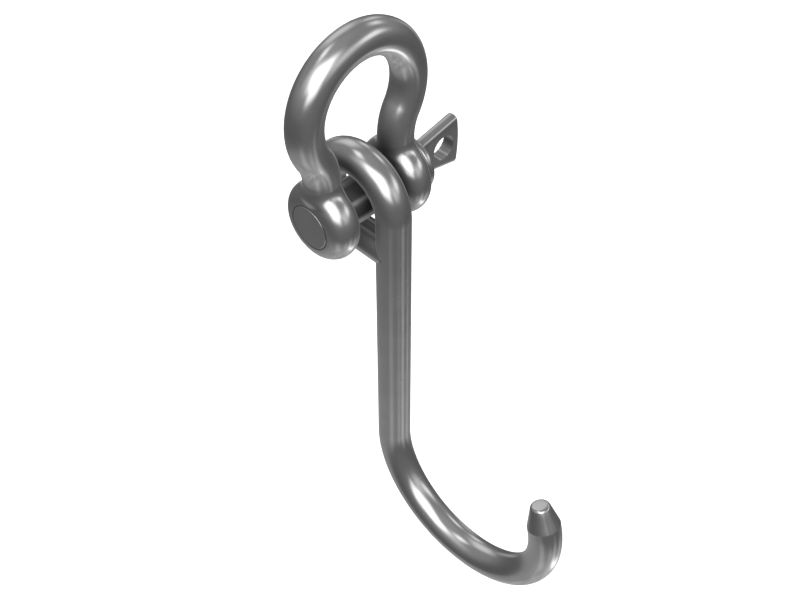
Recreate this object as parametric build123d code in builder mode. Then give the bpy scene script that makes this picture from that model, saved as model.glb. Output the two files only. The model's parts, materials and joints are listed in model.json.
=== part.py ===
from build123d import *
import os
from math import atan2, cos, degrees, radians, sin, tan

# Hanging hook for meat: a J-shaped hook with a closed eye, carried by a bow shackle with a screw pin.
#
# Frame, in millimetres: +Z is up, the origin is the inside top of the bow, where it rides on a rail, and
# the pin runs along Y with its flat head at +Y. The hook hangs in the XZ plane and opens towards +X.

# --- driving dimensions ------------------------------------------------------------------------------

# shackle bow
bar_d = 9.7  # round bar of the bow
jaw_w = 16.1  # clear width between the two ears
ear_t = 9.74  # thickness of an ear across its flats
ear_d = 22.5  # outside diameter of an ear
ear_round_r = 4.88  # rounding of the ear's rim, almost a half circle
leg_straight = 12.65  # straight run of a leg above the pin axis
waist_r = 16.0  # outward bend of a leg, to the bar's centre
waist_angle = 30.3  # turn of that bend
neck_blend_r = 1.8  # blend where a leg runs into its ear

# screw pin
pin_d = 12.0  # shank, and the crests of its thread
pin_proud = 0.15  # how far the end stands out of the threaded ear
pin_end_chamfer = 0.12
bore_gap = 0.06  # radial play in the threaded ear, whose bore is plain here
clearance_gap = 0.10  # radial play in the ear under the collar
thread_pitch = 1.75
thread_depth = 1.05
thread_root_w = 0.30
thread_flank_angle = 30
thread_relief = 0.08  # how far the groove cutter stands out past the crests
thread_land = 0.70  # plain ring left at the pin's end
collar_d = 15.8
collar_t = 2.2
collar_gap = 0.05  # between the collar and the ear that it bears on
collar_edge_r = 0.9
tab_t = 3.6  # flat head, a fan that widens outwards
tab_root_w = 9.8
tab_tip_w = 16.1
tab_len = 14.5  # from the collar to the corners of the fan
tab_crown = 0.7  # how far the sheared end rises past the corners
tab_side_r = 1.6  # rounding of the two forged sides, almost half circles
tab_end_r = 0.5
tab_hole_d = 7.5
tab_hole_from_collar = 9.3

# hook
rod_d = 9.5
eye_r = 12.15  # centre of the rod round the eye
eye_drop = 0.35  # the eye's centre hangs this far below the pin axis
shank_len = 84.0  # from the pin axis down to where the bowl starts
bowl_r = 29.55  # centre of the rod round the bowl
bowl_sweep = 196.8
point_len = 7.2  # tapered point
point_end_d = 5.3  # blunt flat end of the point
point_edge_r = 1.05

# --- derived places ----------------------------------------------------------------------------------

leg_y = (jaw_w + ear_t) / 2
turn = radians(waist_angle)
crown_r = (leg_y + waist_r * (1 - cos(turn))) / cos(turn)
crown_above_pin = leg_straight + (waist_r + crown_r) * sin(turn)
pin_z = -(crown_above_pin + crown_r - bar_d / 2)
ear_ring_r = ear_d / 2 - ear_round_r
ear_outer_y = leg_y + ear_t / 2
collar_y = ear_outer_y + collar_gap
tab_y = collar_y + collar_t
pin_end_y = -(ear_outer_y + pin_proud)

os.makedirs("parts", exist_ok=True)


# --- shackle bow: one bar bent to a bow, with a pierced ear forged on each end ------------------------

leg_foot = (leg_y, pin_z + ear_ring_r)
leg_top = (leg_y, pin_z + leg_straight)

with BuildPart() as shackle_bow:
    # Centreline in the YZ plane, with each leg starting inside its ear.
    with BuildLine(Plane.YZ) as bow_path:
        leg = Line(leg_foot, leg_top)
        waist = CenterArc((leg_y + waist_r, leg_top[1]), waist_r, 180, -waist_angle)
        mirror([leg, waist], about=Plane.XZ)
        CenterArc((0, pin_z + crown_above_pin), crown_r, -waist_angle, 180 + 2 * waist_angle)
    with BuildSketch(Plane.XY.offset(leg_foot[1])):
        with Locations((0, leg_y)):
            Circle(bar_d / 2)
    sweep(path=bow_path.wire())
    # Each ear is a ring of almost round section about the pin axis, flat on both faces, with a plain bore
    # for the pin: close at -Y, loose at +Y.
    for side, gap in ((-1, bore_gap), (1, clearance_gap)):
        bore_r = pin_d / 2 + gap
        with BuildSketch(Plane.YZ):
            with Locations((side * leg_y, pin_z - ear_ring_r)):
                Circle(ear_round_r)
            with Locations((side * leg_y, pin_z - (bore_r + ear_ring_r) / 2)):
                Rectangle(2 * ear_round_r, ear_ring_r - bore_r)
            with Locations((side * leg_y, pin_z - (bore_r + ear_d / 2) / 2)):
                Rectangle(ear_t, ear_d / 2 - bore_r, mode=Mode.INTERSECT)
        revolve(axis=Axis((0, 0, pin_z), (0, 1, 0)))
    # The bar runs into the ears with a small blend all round.
    neck = shackle_bow.edges().filter_by(GeomType.BSPLINE)
    fillet(neck.filter_by_position(Axis.Z, leg_foot[1], leg_top[1]), neck_blend_r)

shackle_bow.part.label = "shackle_bow"
export_step(shackle_bow.part, "parts/shackle_bow.step")


# --- screw pin: shank, threaded end, collar and a pierced flat head, forged in one --------------------

with BuildPart() as screw_pin:
    with BuildSketch(Plane.YZ) as pin_section:
        with BuildLine():
            Polyline(
                (pin_end_y, pin_z),
                (pin_end_y, pin_z + pin_d / 2 - pin_end_chamfer),
                (pin_end_y + pin_end_chamfer, pin_z + pin_d / 2),
                (collar_y, pin_z + pin_d / 2),
                (collar_y, pin_z + collar_d / 2),
                (tab_y, pin_z + collar_d / 2),
                (tab_y, pin_z),
                close=True,
            )
        make_face()
    revolve(axis=Axis((0, 0, pin_z), (0, 1, 0)))
    collar_rims = (
        screw_pin.edges()
        .filter_by(GeomType.CIRCLE)
        .filter_by(lambda e: abs(e.radius - collar_d / 2) < 0.01)
    )
    fillet(collar_rims, collar_edge_r)

    # Flat head: forged sides, almost half round, that spread from the collar to a sheared, bowed end.
    tip_y = tab_y + tab_len
    with BuildSketch(Plane.YZ):
        with BuildLine():
            root_low = (tab_y - collar_edge_r, pin_z - tab_root_w / 2)
            root_high = (tab_y - collar_edge_r, pin_z + tab_root_w / 2)
            tip_low = (tip_y, pin_z - tab_tip_w / 2)
            tip_high = (tip_y, pin_z + tab_tip_w / 2)
            Polyline(tip_low, root_low, root_high, tip_high)
            ThreePointArc(tip_high, (tip_y + tab_crown, pin_z), tip_low)
        make_face()
    extrude(amount=tab_t / 2, both=True)
    tab_edges = screw_pin.edges().filter_by_position(Axis.Y, tab_y + 0.01, tip_y)
    fillet(tab_edges.filter_by(lambda e: abs(abs(e.center().X) - tab_t / 2) < 0.01), tab_side_r)
    fillet(screw_pin.faces().sort_by(Axis.Y)[-1].edges(), tab_end_r)
    with Locations(Location((0, tab_y + tab_hole_from_collar, pin_z), (0, 90, 0))):
        Cylinder(tab_hole_d / 2, 2 * tab_t, mode=Mode.SUBTRACT)

    # Thread: a helical V groove from the plain land at the end up to the inner face of the ear.
    with BuildLine():
        groove_path = Helix(
            pitch=thread_pitch,
            height=ear_t + pin_proud - thread_land - thread_pitch,
            radius=pin_d / 2,
            center=(0, pin_end_y + thread_land + thread_pitch / 2, pin_z),
            direction=(0, 1, 0),
        )
    outward = groove_path @ 0 - Vector(0, (groove_path @ 0).Y, pin_z)
    with BuildSketch(Plane(origin=groove_path @ 0, x_dir=outward, z_dir=groove_path % 0)):
        root_half = thread_root_w / 2
        crest_half = root_half + (thread_depth + thread_relief) * tan(radians(thread_flank_angle))
        Polygon(
            (-thread_depth, -root_half),
            (thread_relief, -crest_half),
            (thread_relief, crest_half),
            (-thread_depth, root_half),
            align=None,
        )
    sweep(path=groove_path, is_frenet=True, mode=Mode.SUBTRACT)
screw_pin.part.label = "screw_pin"
export_step(screw_pin.part, "parts/screw_pin.step")


# --- hook: one rod, its eye closed and welded flush to the shank, its point ground to a taper ---------

shank_x = eye_r
eye_z = pin_z - eye_drop
bowl_top_z = pin_z - shank_len
bowl_x = shank_x + bowl_r

with BuildPart() as hook:
    with BuildLine(Plane.XZ) as rod_path:
        Line((shank_x, eye_z - eye_r), (0, eye_z - eye_r))
        CenterArc((0, eye_z), eye_r, 270, -270)
        Line((shank_x, eye_z), (shank_x, bowl_top_z))
        bowl = CenterArc((bowl_x, bowl_top_z), bowl_r, 180, bowl_sweep)
    with BuildSketch(Plane(origin=(shank_x, 0, eye_z - eye_r), z_dir=(-1, 0, 0))):
        Circle(rod_d / 2)
    sweep(path=rod_path.wire())
    point_angle = degrees(atan2((rod_d - point_end_d) / 2, point_len))
    point_base = Plane(origin=bowl @ 1, z_dir=bowl % 1)
    with BuildSketch(point_base):
        Circle(rod_d / 2)
    extrude(amount=point_len, taper=point_angle)
    point_rim = hook.faces().filter_by(GeomType.PLANE).sort_by(Axis.X)[-1].edges()
    fillet(point_rim, point_edge_r)
hook.part.label = "hook"
export_step(hook.part, "parts/hook.step")
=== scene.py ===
import json
import math

import bmesh
import bpy
import numpy as np
from mathutils import Matrix, Vector


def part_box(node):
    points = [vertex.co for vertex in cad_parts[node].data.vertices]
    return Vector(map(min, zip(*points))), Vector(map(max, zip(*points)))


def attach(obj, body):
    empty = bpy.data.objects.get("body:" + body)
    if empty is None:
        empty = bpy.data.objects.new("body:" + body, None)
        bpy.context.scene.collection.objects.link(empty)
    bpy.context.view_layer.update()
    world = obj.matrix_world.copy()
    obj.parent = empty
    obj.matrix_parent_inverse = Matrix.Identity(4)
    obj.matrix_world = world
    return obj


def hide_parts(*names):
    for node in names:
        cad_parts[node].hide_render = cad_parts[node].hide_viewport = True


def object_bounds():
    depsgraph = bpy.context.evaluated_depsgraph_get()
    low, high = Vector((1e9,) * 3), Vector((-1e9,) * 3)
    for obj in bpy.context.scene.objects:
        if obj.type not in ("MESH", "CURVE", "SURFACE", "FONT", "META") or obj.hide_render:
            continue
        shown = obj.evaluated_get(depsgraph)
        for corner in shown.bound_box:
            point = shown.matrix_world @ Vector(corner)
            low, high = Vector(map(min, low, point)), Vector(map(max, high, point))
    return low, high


# Meat hook on a screw pin bow shackle. Metres, in the CAD frame: +Z up, origin at the inside top of the
# bow, pin along Y with its flat head at +Y, hook in the XZ plane and open towards +X.

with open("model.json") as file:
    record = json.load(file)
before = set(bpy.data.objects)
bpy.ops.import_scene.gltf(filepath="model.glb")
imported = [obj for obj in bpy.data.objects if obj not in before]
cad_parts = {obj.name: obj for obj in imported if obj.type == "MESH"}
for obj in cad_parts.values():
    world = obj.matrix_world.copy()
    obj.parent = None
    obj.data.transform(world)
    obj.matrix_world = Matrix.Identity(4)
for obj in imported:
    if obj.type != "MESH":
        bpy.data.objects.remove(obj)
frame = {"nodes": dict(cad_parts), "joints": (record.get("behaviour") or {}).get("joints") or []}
cad_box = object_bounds()
nodes = frame["nodes"]

# --- camera ------------------------------------------------------------------------------------------

CAMERA_AZIMUTH = 45
CAMERA_ELEVATION = 45
CAMERA_DISTANCE = 0.35235
CAMERA_TARGET = Vector((0.01450, 0.0, -0.07030))
CAMERA_LENS_MM = 59.05


def towards(azimuth, elevation):
    """Unit vector from the object to a place in the studio, in degrees: azimuth 0 is -Y, 90 is +X."""
    a, e = math.radians(azimuth), math.radians(elevation)
    return Vector((math.sin(a) * math.cos(e), -math.cos(a) * math.cos(e), math.sin(e)))


def add_camera():
    """The camera looks down on the hook from the side that it opens to and the end of the pin."""
    data = bpy.data.cameras.new("photo_camera")
    data.lens = CAMERA_LENS_MM
    data.clip_start = 0.01
    data.clip_end = 50
    camera = bpy.data.objects.new("photo_camera", data)
    back = towards(CAMERA_AZIMUTH, CAMERA_ELEVATION)
    camera.location = CAMERA_TARGET + back * CAMERA_DISTANCE
    camera.rotation_mode = "QUATERNION"
    camera.rotation_quaternion = (-back).to_track_quat("-Z", "Y")
    bpy.context.scene.collection.objects.link(camera)
    bpy.context.scene.camera = camera


add_camera()

# --- node helpers ------------------------------------------------------------------------------------


def connect(tree, value, socket):
    """Links a socket, or sets a number or vector."""
    if isinstance(value, bpy.types.NodeSocket):
        tree.links.new(value, socket)
    else:
        socket.default_value = value


def math_node(tree, operation, *values):
    """Adds a Math node whose inputs are numbers or sockets, and returns its output socket."""
    node = tree.nodes.new("ShaderNodeMath")
    node.operation = operation
    for socket, value in zip(node.inputs, values):
        connect(tree, value, socket)
    return node.outputs[0]


def dot_node(tree, vector_socket, constant):
    """Dot product of a vector socket and a constant vector."""
    node = tree.nodes.new("ShaderNodeVectorMath")
    node.operation = "DOT_PRODUCT"
    tree.links.new(vector_socket, node.inputs[0])
    node.inputs[1].default_value = constant
    return node.outputs["Value"]


def range_node(tree, value, from_min, from_max, to_min, to_max):
    """Maps a value smoothly from one range to another, and holds it beyond the ends."""
    node = tree.nodes.new("ShaderNodeMapRange")
    node.interpolation_type = "SMOOTHSTEP"
    for socket, number in zip(node.inputs, (value, from_min, from_max, to_min, to_max)):
        connect(tree, number, socket)
    return node.outputs["Result"]


def ramp_node(tree, factor, stops):
    """Adds a grey colour ramp through (position, brightness) stops."""
    node = tree.nodes.new("ShaderNodeValToRGB")
    ramp = node.color_ramp
    while len(ramp.elements) < len(stops):
        ramp.elements.new(0.5)
    for element, (position, value) in zip(ramp.elements, stops):
        element.position = position
        element.color = (value, value, value, 1)
    tree.links.new(factor, node.inputs["Fac"])
    return node.outputs["Color"]


def vector_node(tree, x, y, z):
    """Joins three numbers or sockets into a vector."""
    node = tree.nodes.new("ShaderNodeCombineXYZ")
    for socket, value in zip(node.inputs, (x, y, z)):
        connect(tree, value, socket)
    return node.outputs[0]


def noise_node(tree, vector, scale, detail):
    """Noise from 0 to 1, with `scale` features to each unit of the vector."""
    node = tree.nodes.new("ShaderNodeTexNoise")
    tree.links.new(vector, node.inputs["Vector"])
    node.inputs["Scale"].default_value = scale
    node.inputs["Detail"].default_value = detail
    return node.outputs["Fac"]


# --- mesh helper -------------------------------------------------------------------------------------


def turned(name, profile, sides, lid):
    """A mesh turned about Z through (radius, height) points, closed below, and above too if it has a lid."""
    points = []
    for radius, height in profile:
        for i in range(sides):
            a = 2 * math.pi * i / sides
            points.append((radius * math.cos(a), radius * math.sin(a), height))
    faces = [tuple(range(sides))[::-1]]
    for high in range(sides, len(points), sides):
        low = high - sides
        for i in range(sides):
            j = (i + 1) % sides
            faces.append((low + i, low + j, high + j, high + i))
    if lid:
        faces.append(tuple(range(len(points) - sides, len(points))))
    mesh = bpy.data.meshes.new(name)
    mesh.from_pydata(points, [], faces)
    return mesh


# --- studio ------------------------------------------------------------------------------------------

# Brightness of the studio's walls from straight down to straight up, as (sine of elevation, brightness).
WALLS = (
    (-1.00, 0.52),
    (-0.90, 0.46),
    (-0.76, 0.38),
    (-0.66, 0.20),
    (-0.50, 0.16),
    (-0.20, 0.19),
    (0.05, 0.28),
    (0.20, 0.36),
    (0.50, 0.40),
    (0.80, 0.37),
    (1.00, 0.46),
)

# Soft panels: azimuth, elevation, half width and half height in degrees, added brightness, edge softness.
# The first two are the key light, and the last two are strips that light the object's back.
PANELS = (
    (38, 47, 28, 16, 2.5, 0.45),
    (45, 25, 20, 14, 1.9, 0.5),
    (-18, 47, 16, 20, 0.45, 0.6),
    (-60, 63, 10, 8, 1.35, 0.6),
    (-112, 32, 15, 18, 0.65, 0.6),
    (-173, 35, 8, 7, 1.1, 0.6),
    (-145, 20, 6, 10, 0.7, 0.6),
    (136, 24, 14, 8, 1.35, 0.6),
    (100, 23, 16, 12, 0.6, 0.7),
    (70, -22, 40, 14, 0.05, 0.7),
    (136, -63, 13, 4, 1.8, 0.6),
    (106, -54, 6, 15, 0.35, 0.6),
    (78, -55, 5, 10, 0.25, 0.6),
    (26, -56, 8, 12, 0.22, 0.6),
    (147, -52, 5, 9, 0.35, 0.6),
    (-160, -14, 5, 16, 0.4, 0.6),
    (-117, -16, 6, 16, 0.35, 0.6),
)

# Stands and cables underfoot: noise on the part of the sky that is nearly straight down.
CLUTTER_SCALE = 6
CLUTTER_NOISE = (0.38, 0.62)  # the noise that gives the least and the most brightness
CLUTTER_BRIGHTNESS = (-0.10, 0.22)
CLUTTER_EDGE = (0.02, 0.09)  # where it fades, in height from 0 straight down to 1 straight up


def panel_mask(tree, direction, azimuth, elevation, half_width, half_height, softness):
    """1 inside a rounded rectangle on the sky, falling to 0 across its soft edge."""
    centre = towards(azimuth, elevation)
    across = towards(azimuth + 90, 0)
    up = centre.cross(across)
    x = math_node(tree, "DIVIDE", dot_node(tree, direction, across), math.sin(math.radians(half_width)))
    y = math_node(tree, "DIVIDE", dot_node(tree, direction, up), math.sin(math.radians(half_height)))
    x4 = math_node(tree, "POWER", math_node(tree, "ABSOLUTE", x), 4.0)
    y4 = math_node(tree, "POWER", math_node(tree, "ABSOLUTE", y), 4.0)
    reach = math_node(tree, "POWER", math_node(tree, "ADD", x4, y4), 0.25)
    inside = range_node(tree, reach, 1 - softness, 1 + softness, 1.0, 0.0)
    front = math_node(tree, "GREATER_THAN", dot_node(tree, direction, centre), 0.0)
    return math_node(tree, "MULTIPLY", inside, front)


def add_world():
    """The studio that the steel reflects: walls, clutter underfoot and soft panels, all on the sky."""
    world = bpy.data.worlds.new("studio")
    world.use_nodes = True
    tree = world.node_tree
    background = tree.nodes["Background"]
    direction = tree.nodes.new("ShaderNodeTexCoord").outputs["Generated"]
    height = math_node(tree, "MULTIPLY_ADD", dot_node(tree, direction, (0, 0, 1)), 0.5, 0.5)
    total = ramp_node(tree, height, [((s + 1) / 2, v) for s, v in WALLS])
    clutter_noise = noise_node(tree, direction, CLUTTER_SCALE, 1.0)
    clutter = range_node(tree, clutter_noise, *CLUTTER_NOISE, *CLUTTER_BRIGHTNESS)
    underfoot = range_node(tree, height, *CLUTTER_EDGE, 1.0, 0.0)
    total = math_node(tree, "MULTIPLY_ADD", underfoot, clutter, total)
    for azimuth, elevation, half_width, half_height, brightness, softness in PANELS:
        mask = panel_mask(tree, direction, azimuth, elevation, half_width, half_height, softness)
        total = math_node(tree, "MULTIPLY_ADD", mask, brightness, total)
    tree.links.new(total, background.inputs["Color"])
    bpy.context.scene.world = world


# The backdrop is a white dish: a flat floor whose rim sweeps up into a wall. The steel doesn't reflect it.
FLOOR_DROP = 0.12
FLOOR_RADIUS = 2.0
WALL_RADIUS = 4.0
WALL_HEIGHT = 6.0
DISH_SIDES = 96
SWEEP_STEPS = 12


def add_backdrop():
    floor_z = cad_box[0].z - FLOOR_DROP
    sweep = WALL_RADIUS - FLOOR_RADIUS
    profile = []
    for i in range(SWEEP_STEPS + 1):
        a = math.radians(90 * i / SWEEP_STEPS)
        profile.append((FLOOR_RADIUS + sweep * math.sin(a), floor_z + sweep * (1 - math.cos(a))))
    profile.append((WALL_RADIUS, floor_z + WALL_HEIGHT))
    mesh = turned("backdrop", profile, DISH_SIDES, lid=False)
    mesh.shade_smooth()
    paint = bpy.data.materials.new("backdrop_paint")
    paint.use_nodes = True
    shader = paint.node_tree.nodes["Principled BSDF"]
    shader.inputs["Base Color"].default_value = (0.9, 0.9, 0.9, 1)
    shader.inputs["Roughness"].default_value = 1.0
    shader.inputs["Specular IOR Level"].default_value = 0.0
    mesh.materials.append(paint)
    backdrop = bpy.data.objects.new("backdrop", mesh)
    bpy.context.scene.collection.objects.link(backdrop)
    backdrop.visible_glossy = False
    backdrop.visible_shadow = False


def add_backdrop_light():
    """A broad light that whitens the backdrop and doesn't show in the steel."""
    data = bpy.data.lights.new("backdrop_light", "SUN")
    data.energy = 2.2
    data.angle = math.radians(60)
    lamp = bpy.data.objects.new("backdrop_light", data)
    lamp.visible_glossy = False
    bpy.context.scene.collection.objects.link(lamp)


add_world()
add_backdrop()
add_backdrop_light()
bpy.context.scene.view_settings.view_transform = "Standard"

# --- steel -------------------------------------------------------------------------------------------

# Places read from the model, in metres.
joints = {joint["name"]: joint for joint in frame["joints"]}
PIN_Z = joints["hook_swing"]["pos_m"][2]
hook_low, hook_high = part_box("hook")
ROD_R = hook_high.y
EYE_R = -hook_low.x - ROD_R  # rod's centreline round the eye
EYE_Z = hook_high.z - EYE_R - ROD_R
BOWL_R = (hook_high.x - ROD_R - EYE_R) / 2
BOWL_X = EYE_R + BOWL_R
BOWL_Z = hook_low.z + ROD_R + BOWL_R
TAB_Y = 0.0200  # where the pin's flat head starts

# Features of each noise to the metre.
GRAIN_SCALE = 2600
SCRATCH_SCALE = 1500
WAVE_SCALE = 180
TONE_SCALE = 160
POLISH_SCALE = 90

SCRATCH_NOISE = (0.70, 0.76)  # only the tops of the noise are scratches
SCRATCH_DEPTH = 2e-6
ROD_STRETCH = 0.02  # the grain's width over its length, along the drawn rod
TURNED_STRETCH = 0.03  # the same, round the turned pin

# Painted shade in corners and gaps, from how much of the sky a place sees.
SHADE_REACH = 0.011
SHADE_OPEN = (0.20, 0.92)  # share of the sky that a place sees where the painted shade is darkest, and where it ends
SHADE_TONE = 0.14
RIM_SHADE_R = (0.0061, 0.0067)  # the painted shade round the pin, from its darkest to its edge
RIM_SHADE_TONE = 0.35


def pin_radius(tree, x, z):
    """Distance from the pin's axis."""
    height = math_node(tree, "SUBTRACT", z, PIN_Z)
    return math_node(tree, "SQRT", math_node(
        tree, "ADD", math_node(tree, "POWER", x, 2.0), math_node(tree, "POWER", height, 2.0)))


def round_grain(tree, x, y, z):
    """Forged and tumbled steel has no direction: the grain is the same every way."""
    return vector_node(tree, x, y, z)


def rod_grain(tree, x, y, z):
    """Drawn rod: long marks that follow the rod round the eye, down the shank and round the bowl."""
    # Shank and bowl: across and along the centreline.
    below = math_node(tree, "MINIMUM", math_node(tree, "SUBTRACT", z, BOWL_Z), 0.0)
    above = math_node(tree, "MAXIMUM", math_node(tree, "SUBTRACT", z, BOWL_Z), 0.0)
    inward = math_node(tree, "SUBTRACT", BOWL_X, x)
    radius = math_node(tree, "SQRT", math_node(
        tree, "ADD", math_node(tree, "POWER", inward, 2.0), math_node(tree, "POWER", below, 2.0)))
    across = math_node(tree, "SUBTRACT", radius, BOWL_R)
    angle = math_node(tree, "ARCTAN2", below, inward)
    along = math_node(tree, "MULTIPLY_ADD", angle, BOWL_R, above)
    # The same round the eye, which takes over left of the shank and above the eye's centre.
    up = math_node(tree, "SUBTRACT", z, EYE_Z)
    eye_radius = math_node(tree, "SQRT", math_node(
        tree, "ADD", math_node(tree, "POWER", x, 2.0), math_node(tree, "POWER", up, 2.0)))
    eye_across = math_node(tree, "SUBTRACT", EYE_R, eye_radius)
    eye_angle = math_node(tree, "ARCTAN2", up, x)
    eye_along = math_node(tree, "MULTIPLY_ADD", eye_angle, EYE_R, EYE_Z - BOWL_Z)
    left_of_shank = math_node(tree, "LESS_THAN", x, EYE_R - ROD_R)
    over_eye_foot = math_node(tree, "GREATER_THAN", up, -EYE_R - 2 * ROD_R)
    left = math_node(tree, "MULTIPLY", left_of_shank, over_eye_foot)
    in_eye = math_node(tree, "MAXIMUM", left, math_node(tree, "GREATER_THAN", up, 0.0))
    across = math_node(tree, "ADD", across, math_node(
        tree, "MULTIPLY", in_eye, math_node(tree, "SUBTRACT", eye_across, across)))
    along = math_node(tree, "ADD", along, math_node(
        tree, "MULTIPLY", in_eye, math_node(tree, "SUBTRACT", eye_along, along)))
    return vector_node(tree, across, y, math_node(tree, "MULTIPLY", along, ROD_STRETCH))


def turned_grain(tree, x, y, z):
    """Turned pin: rings round the shank, the collar and the end, and straight marks along the flat head."""
    rings = math_node(tree, "ADD", y, pin_radius(tree, x, z))
    on_head = math_node(tree, "GREATER_THAN", y, TAB_Y)
    mark = math_node(tree, "ADD", rings, math_node(
        tree, "MULTIPLY", on_head, math_node(tree, "SUBTRACT", z, rings)))
    slow_x = math_node(tree, "MULTIPLY", x, TURNED_STRETCH)
    slow_y = math_node(tree, "MULTIPLY", y, TURNED_STRETCH)
    return vector_node(tree, mark, slow_x, slow_y)


def no_rim_shade(tree, x, z):
    """No painted shade round the pin."""
    return 1.0


def shaded_rims(tree, x, z):
    """Painted shade darkens the bow's steel close round the pin, in the ring where bore and pin meet."""
    return range_node(tree, pin_radius(tree, x, z), *RIM_SHADE_R, RIM_SHADE_TONE, 1.0)


def steel(name, grain, rim_shade, tone, roughness, grain_depth, wave_depth, patch_centre, patch_radius, wear_and_shade_tone):
    """Polished stainless steel with grain, scratches, uneven polish, one patch of its own tone, and painted
    shade in its corners.

    `tone` is how bright it is, depths and places are in metres, and the patch's tone is added on the patch:
    brighter where the bow and hook are rubbed, painted shade on the pin's shaft.
    """
    material = bpy.data.materials.new(name)
    material.use_nodes = True
    tree = material.node_tree
    shader = tree.nodes["Principled BSDF"]
    place = tree.nodes.new("ShaderNodeTexCoord").outputs["Object"]
    split = tree.nodes.new("ShaderNodeSeparateXYZ")
    tree.links.new(place, split.inputs[0])
    x, y, z = split.outputs
    marks = grain(tree, x, y, z)

    # Grain a few tenths of a millimetre wide, and a few longer scratches across it.
    fine = noise_node(tree, marks, GRAIN_SCALE, 3.0)
    scratch_vector = tree.nodes.new("ShaderNodeMapping")
    scratch_vector.inputs["Rotation"].default_value = (0.5, 0.9, 0.4)
    scratch_vector.inputs["Scale"].default_value = (1.0, 0.04, 0.25)
    tree.links.new(place, scratch_vector.inputs["Vector"])
    scratch_noise = noise_node(tree, scratch_vector.outputs[0], SCRATCH_SCALE, 1.0)
    scratches = range_node(tree, scratch_noise, *SCRATCH_NOISE, 0.0, 1.0)

    # The polish is uneven over a centimetre or so, and the steel is a little dull in places.
    patches = noise_node(tree, place, POLISH_SCALE, 3.0)
    distance = tree.nodes.new("ShaderNodeVectorMath")
    distance.operation = "DISTANCE"
    tree.links.new(place, distance.inputs[0])
    distance.inputs[1].default_value = patch_centre
    patch_edge = math_node(tree, "MULTIPLY_ADD", patches, patch_radius, distance.outputs["Value"])
    wear_and_shade_patch = range_node(tree, patch_edge, patch_radius, 1.7 * patch_radius, 1.0, 0.0)

    rough = range_node(tree, patches, 0.30, 0.70, roughness - 0.025, roughness + 0.035)
    rough = math_node(tree, "MULTIPLY_ADD", fine, 0.04, math_node(tree, "SUBTRACT", rough, 0.02))
    rough = math_node(tree, "MULTIPLY_ADD", scratches, 0.06, rough)
    rough = math_node(tree, "MULTIPLY_ADD", wear_and_shade_patch, -0.05, rough)
    tree.links.new(rough, shader.inputs["Roughness"])

    # Painted shade: corners and gaps between the pieces that see little of the sky are darkened in the
    # colour.
    occlusion = tree.nodes.new("ShaderNodeAmbientOcclusion")
    occlusion.samples = 12
    occlusion.inputs["Distance"].default_value = SHADE_REACH
    painted_shade = range_node(tree, occlusion.outputs["AO"], *SHADE_OPEN, SHADE_TONE, 1.0)
    tone_noise = noise_node(tree, place, TONE_SCALE, 4.0)
    shade = range_node(tree, tone_noise, 0.30, 0.70, tone - 0.015, tone + 0.015)
    # The patch's tone: rubbed brighter on the bow and hook, and painted shade darkening the pin's shaft.
    shade = math_node(tree, "MULTIPLY_ADD", wear_and_shade_patch, wear_and_shade_tone, shade)
    # The colour takes the painted shade in corners and, on the bow, the painted shade round the pin.
    shade = math_node(tree, "MULTIPLY", shade, math_node(tree, "MULTIPLY", painted_shade, rim_shade(tree, x, z)))
    tree.links.new(vector_node(tree, shade, shade, shade), shader.inputs["Base Color"])
    shader.inputs["Metallic"].default_value = 1.0

    # Relief: the grain, the scratches cut below it, and soft waves left by forging.
    waves = noise_node(tree, place, WAVE_SCALE, 1.0)
    relief = math_node(tree, "MULTIPLY", waves, wave_depth)
    relief = math_node(tree, "MULTIPLY_ADD", fine, grain_depth, relief)
    relief = math_node(tree, "MULTIPLY_ADD", scratches, -SCRATCH_DEPTH, relief)
    bump = tree.nodes.new("ShaderNodeBump")
    bump.inputs["Strength"].default_value = 1.0
    bump.inputs["Distance"].default_value = 1.0
    tree.links.new(relief, bump.inputs["Height"])
    tree.links.new(bump.outputs["Normal"], shader.inputs["Normal"])
    return material


RUBBED_BRIGHT = 0.03
PIN_PAINTED_SHADE = -0.22  # painted shade on the pin's shaft between the ears
SADDLE = (0, 0, 0)
BOWL = (BOWL_X, 0, BOWL_Z - BOWL_R + ROD_R)

FINISHES = {
    "shackle_bow": steel(
        "forged_steel", round_grain, shaded_rims, 0.50, 0.20, 8e-7, 8e-6, SADDLE, 0.009, RUBBED_BRIGHT
    ),
    "screw_pin": steel(
        "turned_steel", turned_grain, no_rim_shade, 0.46, 0.22, 8e-7, 0, (0, 0, PIN_Z), 0.009, PIN_PAINTED_SHADE
    ),
    "hook": steel("drawn_steel", rod_grain, no_rim_shade, 0.50, 0.20, 1.2e-6, 4e-6, BOWL, 0.012, RUBBED_BRIGHT),
}


def show(name, mesh, node_name):
    """Puts a mesh in the scene in place of a CAD node, with that node's finish and motion."""
    mesh.materials.clear()
    mesh.materials.append(FINISHES[node_name])
    piece = bpy.data.objects.new(name, mesh)
    bpy.context.scene.collection.objects.link(piece)
    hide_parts(node_name)
    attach(piece, node_name)
    return piece


# --- pin and hook ------------------------------------------------------------------------------------

SEAM_ANGLE = math.radians(12)  # normals that differ by less than this are evened
SEAM_GRID = 1e6  # corners in the same micrometre are one place


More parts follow.
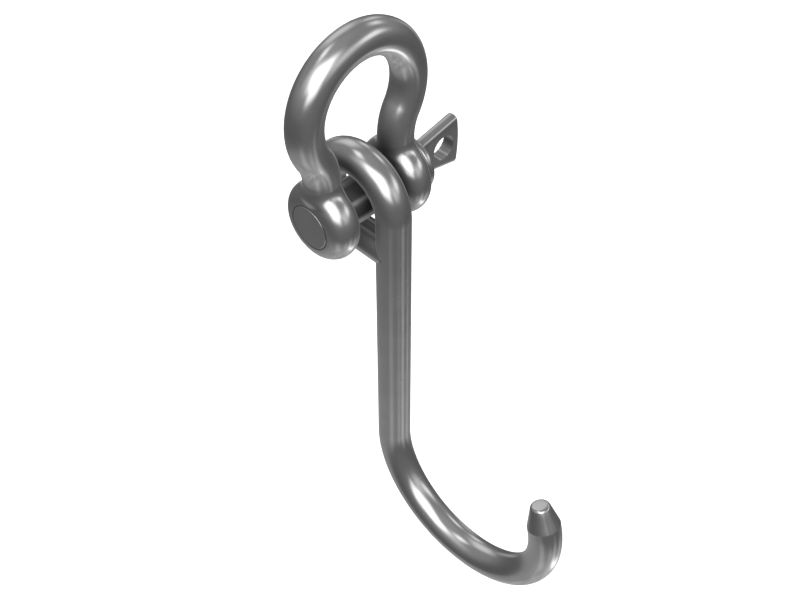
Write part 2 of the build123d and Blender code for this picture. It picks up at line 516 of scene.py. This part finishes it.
def seamless(node_name):
    """A copy of the CAD mesh, shaded with no crease where a round face closes on itself."""
    mesh = nodes[node_name].data.copy()
    corner_vertex = np.empty(len(mesh.loops), dtype=int)
    mesh.loops.foreach_get("vertex_index", corner_vertex)
    normals = np.array([normal.vector for normal in mesh.corner_normals])
    points = np.empty(len(mesh.vertices) * 3)
    mesh.vertices.foreach_get("co", points)
    places = np.round(points.reshape(-1, 3)[corner_vertex] * SEAM_GRID).astype(int)
    meeting = {}
    for corner, place in enumerate(map(tuple, places)):
        meeting.setdefault(place, []).append(corner)
    for corners in meeting.values():
        here = normals[corners]
        near = (here @ here.T > math.cos(SEAM_ANGLE)).astype(float)
        mean = near @ here
        normals[corners] = mean / np.linalg.norm(mean, axis=1, keepdims=True)
    mesh.normals_split_custom_set(normals.tolist())
    return mesh


# --- forged bow --------------------------------------------------------------------------------------

BAR_R = 0.00485
EAR_TUBE_R = 0.00488  # half of an ear's thickness, and the rounding of its rim
EAR_R = 0.01125
LEG_Y = 0.01292
LEG_TOP = 0.01265  # top of the straight leg, above the pin's axis
WAIST_R = 0.016
WAIST_TURN = math.radians(30.3)
CROWN_R = (LEG_Y + WAIST_R * (1 - math.cos(WAIST_TURN))) / math.cos(WAIST_TURN)
CROWN_Z = PIN_Z + LEG_TOP + (WAIST_R + CROWN_R) * math.sin(WAIST_TURN)
EAR_RING_R = EAR_R - EAR_TUBE_R
NECK_BLEND = 0.0022
BLEND_R = (0.0064, 0.0095)  # from the pin's axis, where the blend starts and where it is full
LEAST_BLEND = 1e-7
BORES = ((-1, 0.00606), (1, 0.00610))  # side and radius
PLUG_OVER = 0.0005  # a plug is this much wider than its bore
PLUG_UNDER = 0.0002  # and ends this far inside the ear's faces
DRILL_OVER = 0.002
PIN_SIDES = 160
VOXEL = 0.0003
WELD = 1e-7
PULLS = 8  # steps that draw the even mesh onto the blended shape
NUDGE = 1e-6  # the slope is measured this far to each side
LEAST_STEEPNESS = 0.25
SHARP_ANGLE = math.radians(40)


def bow_distance(p):
    """Distance of points from the surface of the forged bow, negative inside, before the bores."""
    x, y, z = p[:, 0], np.abs(p[:, 1]), p[:, 2] - PIN_Z
    leg = np.hypot(y - LEG_Y, z - np.clip(z, EAR_RING_R, LEG_TOP))
    wy, wz = y - LEG_Y - WAIST_R, z - LEG_TOP
    waist = np.abs(np.hypot(wy, wz) - WAIST_R)
    in_waist = (wz > 0) & (wz < -wy * math.tan(WAIST_TURN))
    cz = z + PIN_Z - CROWN_Z
    crown = np.abs(np.hypot(y, cz) - CROWN_R)
    in_crown = cz > -y * math.tan(WAIST_TURN)
    path = np.where(in_crown, np.minimum(crown, leg), np.where(in_waist, waist, leg))
    bar = np.hypot(path, x) - BAR_R
    rho = np.hypot(x, z)
    ear = np.hypot(np.maximum(rho - EAR_RING_R, 0), y - LEG_Y) - EAR_TUBE_R
    full = np.clip((rho - BLEND_R[0]) / (BLEND_R[1] - BLEND_R[0]), 0, 1)
    blend = NECK_BLEND * full * full * (3 - 2 * full) + LEAST_BLEND
    overlap = np.maximum(blend - np.abs(bar - ear), 0) / blend
    return np.minimum(bar, ear) - overlap * overlap * blend / 4


def shown_mesh(obj, name):
    """A copy of the object's mesh with its modifiers applied; the object goes."""
    evaluated = obj.evaluated_get(bpy.context.evaluated_depsgraph_get())
    mesh = bpy.data.meshes.new_from_object(evaluated)
    mesh.name = name
    bpy.data.objects.remove(obj)
    return mesh


def pin_solid(name, radius, y, half_length):
    """A cylinder about the pin's axis, centred at y."""
    mesh = turned(name, ((radius, -half_length), (radius, half_length)), PIN_SIDES, lid=True)
    mesh.transform(Matrix.Translation((0, y, PIN_Z)) @ Matrix.Rotation(math.radians(90), 4, "X"))
    return mesh


def even_blank():
    """The CAD bow with its bores plugged, in faces of one size."""
    shape = bmesh.new()
    shape.from_mesh(nodes["shackle_bow"].data)
    bmesh.ops.remove_doubles(shape, verts=shape.verts, dist=WELD)
    for side, bore_r in BORES:
        shape.from_mesh(pin_solid("plug", bore_r + PLUG_OVER, side * LEG_Y, EAR_TUBE_R - PLUG_UNDER))
    mesh = bpy.data.meshes.new("bow_blank")
    shape.to_mesh(mesh)
    blank = bpy.data.objects.new("bow_blank", mesh)
    bpy.context.scene.collection.objects.link(blank)
    remesh = blank.modifiers.new("even", "REMESH")
    remesh.mode = "VOXEL"
    remesh.voxel_size = VOXEL
    return shown_mesh(blank, "bow_even")


def blend_necks(mesh):
    """Draws the mesh onto the shape whose legs flow into the ears."""
    points = np.empty(len(mesh.vertices) * 3)
    mesh.vertices.foreach_get("co", points)
    points = points.reshape(-1, 3)
    for _ in range(PULLS):
        slope = np.empty_like(points)
        for axis in range(3):
            offset = np.zeros(3)
            offset[axis] = NUDGE
            slope[:, axis] = (bow_distance(points + offset) - bow_distance(points - offset)) / (2 * NUDGE)
        steepness = np.maximum((slope**2).sum(1), LEAST_STEEPNESS)
        points -= slope * (bow_distance(points) / steepness)[:, None]
    mesh.vertices.foreach_set("co", points.ravel())
    mesh.update()


def forged_bow():
    """The CAD bow with legs that flow into its ears, and bored for the pin."""
    mesh = even_blank()
    blend_necks(mesh)
    bow = bpy.data.objects.new("forged_bow", mesh)
    bpy.context.scene.collection.objects.link(bow)
    drills = []
    for side, bore_r in BORES:
        cutter = pin_solid("drill", bore_r, side * LEG_Y, EAR_TUBE_R + DRILL_OVER)
        drill = bpy.data.objects.new("drill", cutter)
        bpy.context.scene.collection.objects.link(drill)
        drills.append(drill)
        cut = bow.modifiers.new("bore", "BOOLEAN")
        cut.operation = "DIFFERENCE"
        cut.solver = "EXACT"
        cut.object = drill
    bored = shown_mesh(bow, "forged_bow")
    for drill in drills:
        bpy.data.objects.remove(drill)
    bored.shade_smooth()
    bored.set_sharp_from_angle(angle=SHARP_ANGLE)
    return bored


shown = (
    show("forged_bow", forged_bow(), "shackle_bow"),
    show("turned_pin", seamless("screw_pin"), "screw_pin"),
    show("drawn_hook", seamless("hook"), "hook"),
)
for piece in shown:
    # The pieces reflect the studio and not each other.
    piece.visible_glossy = False
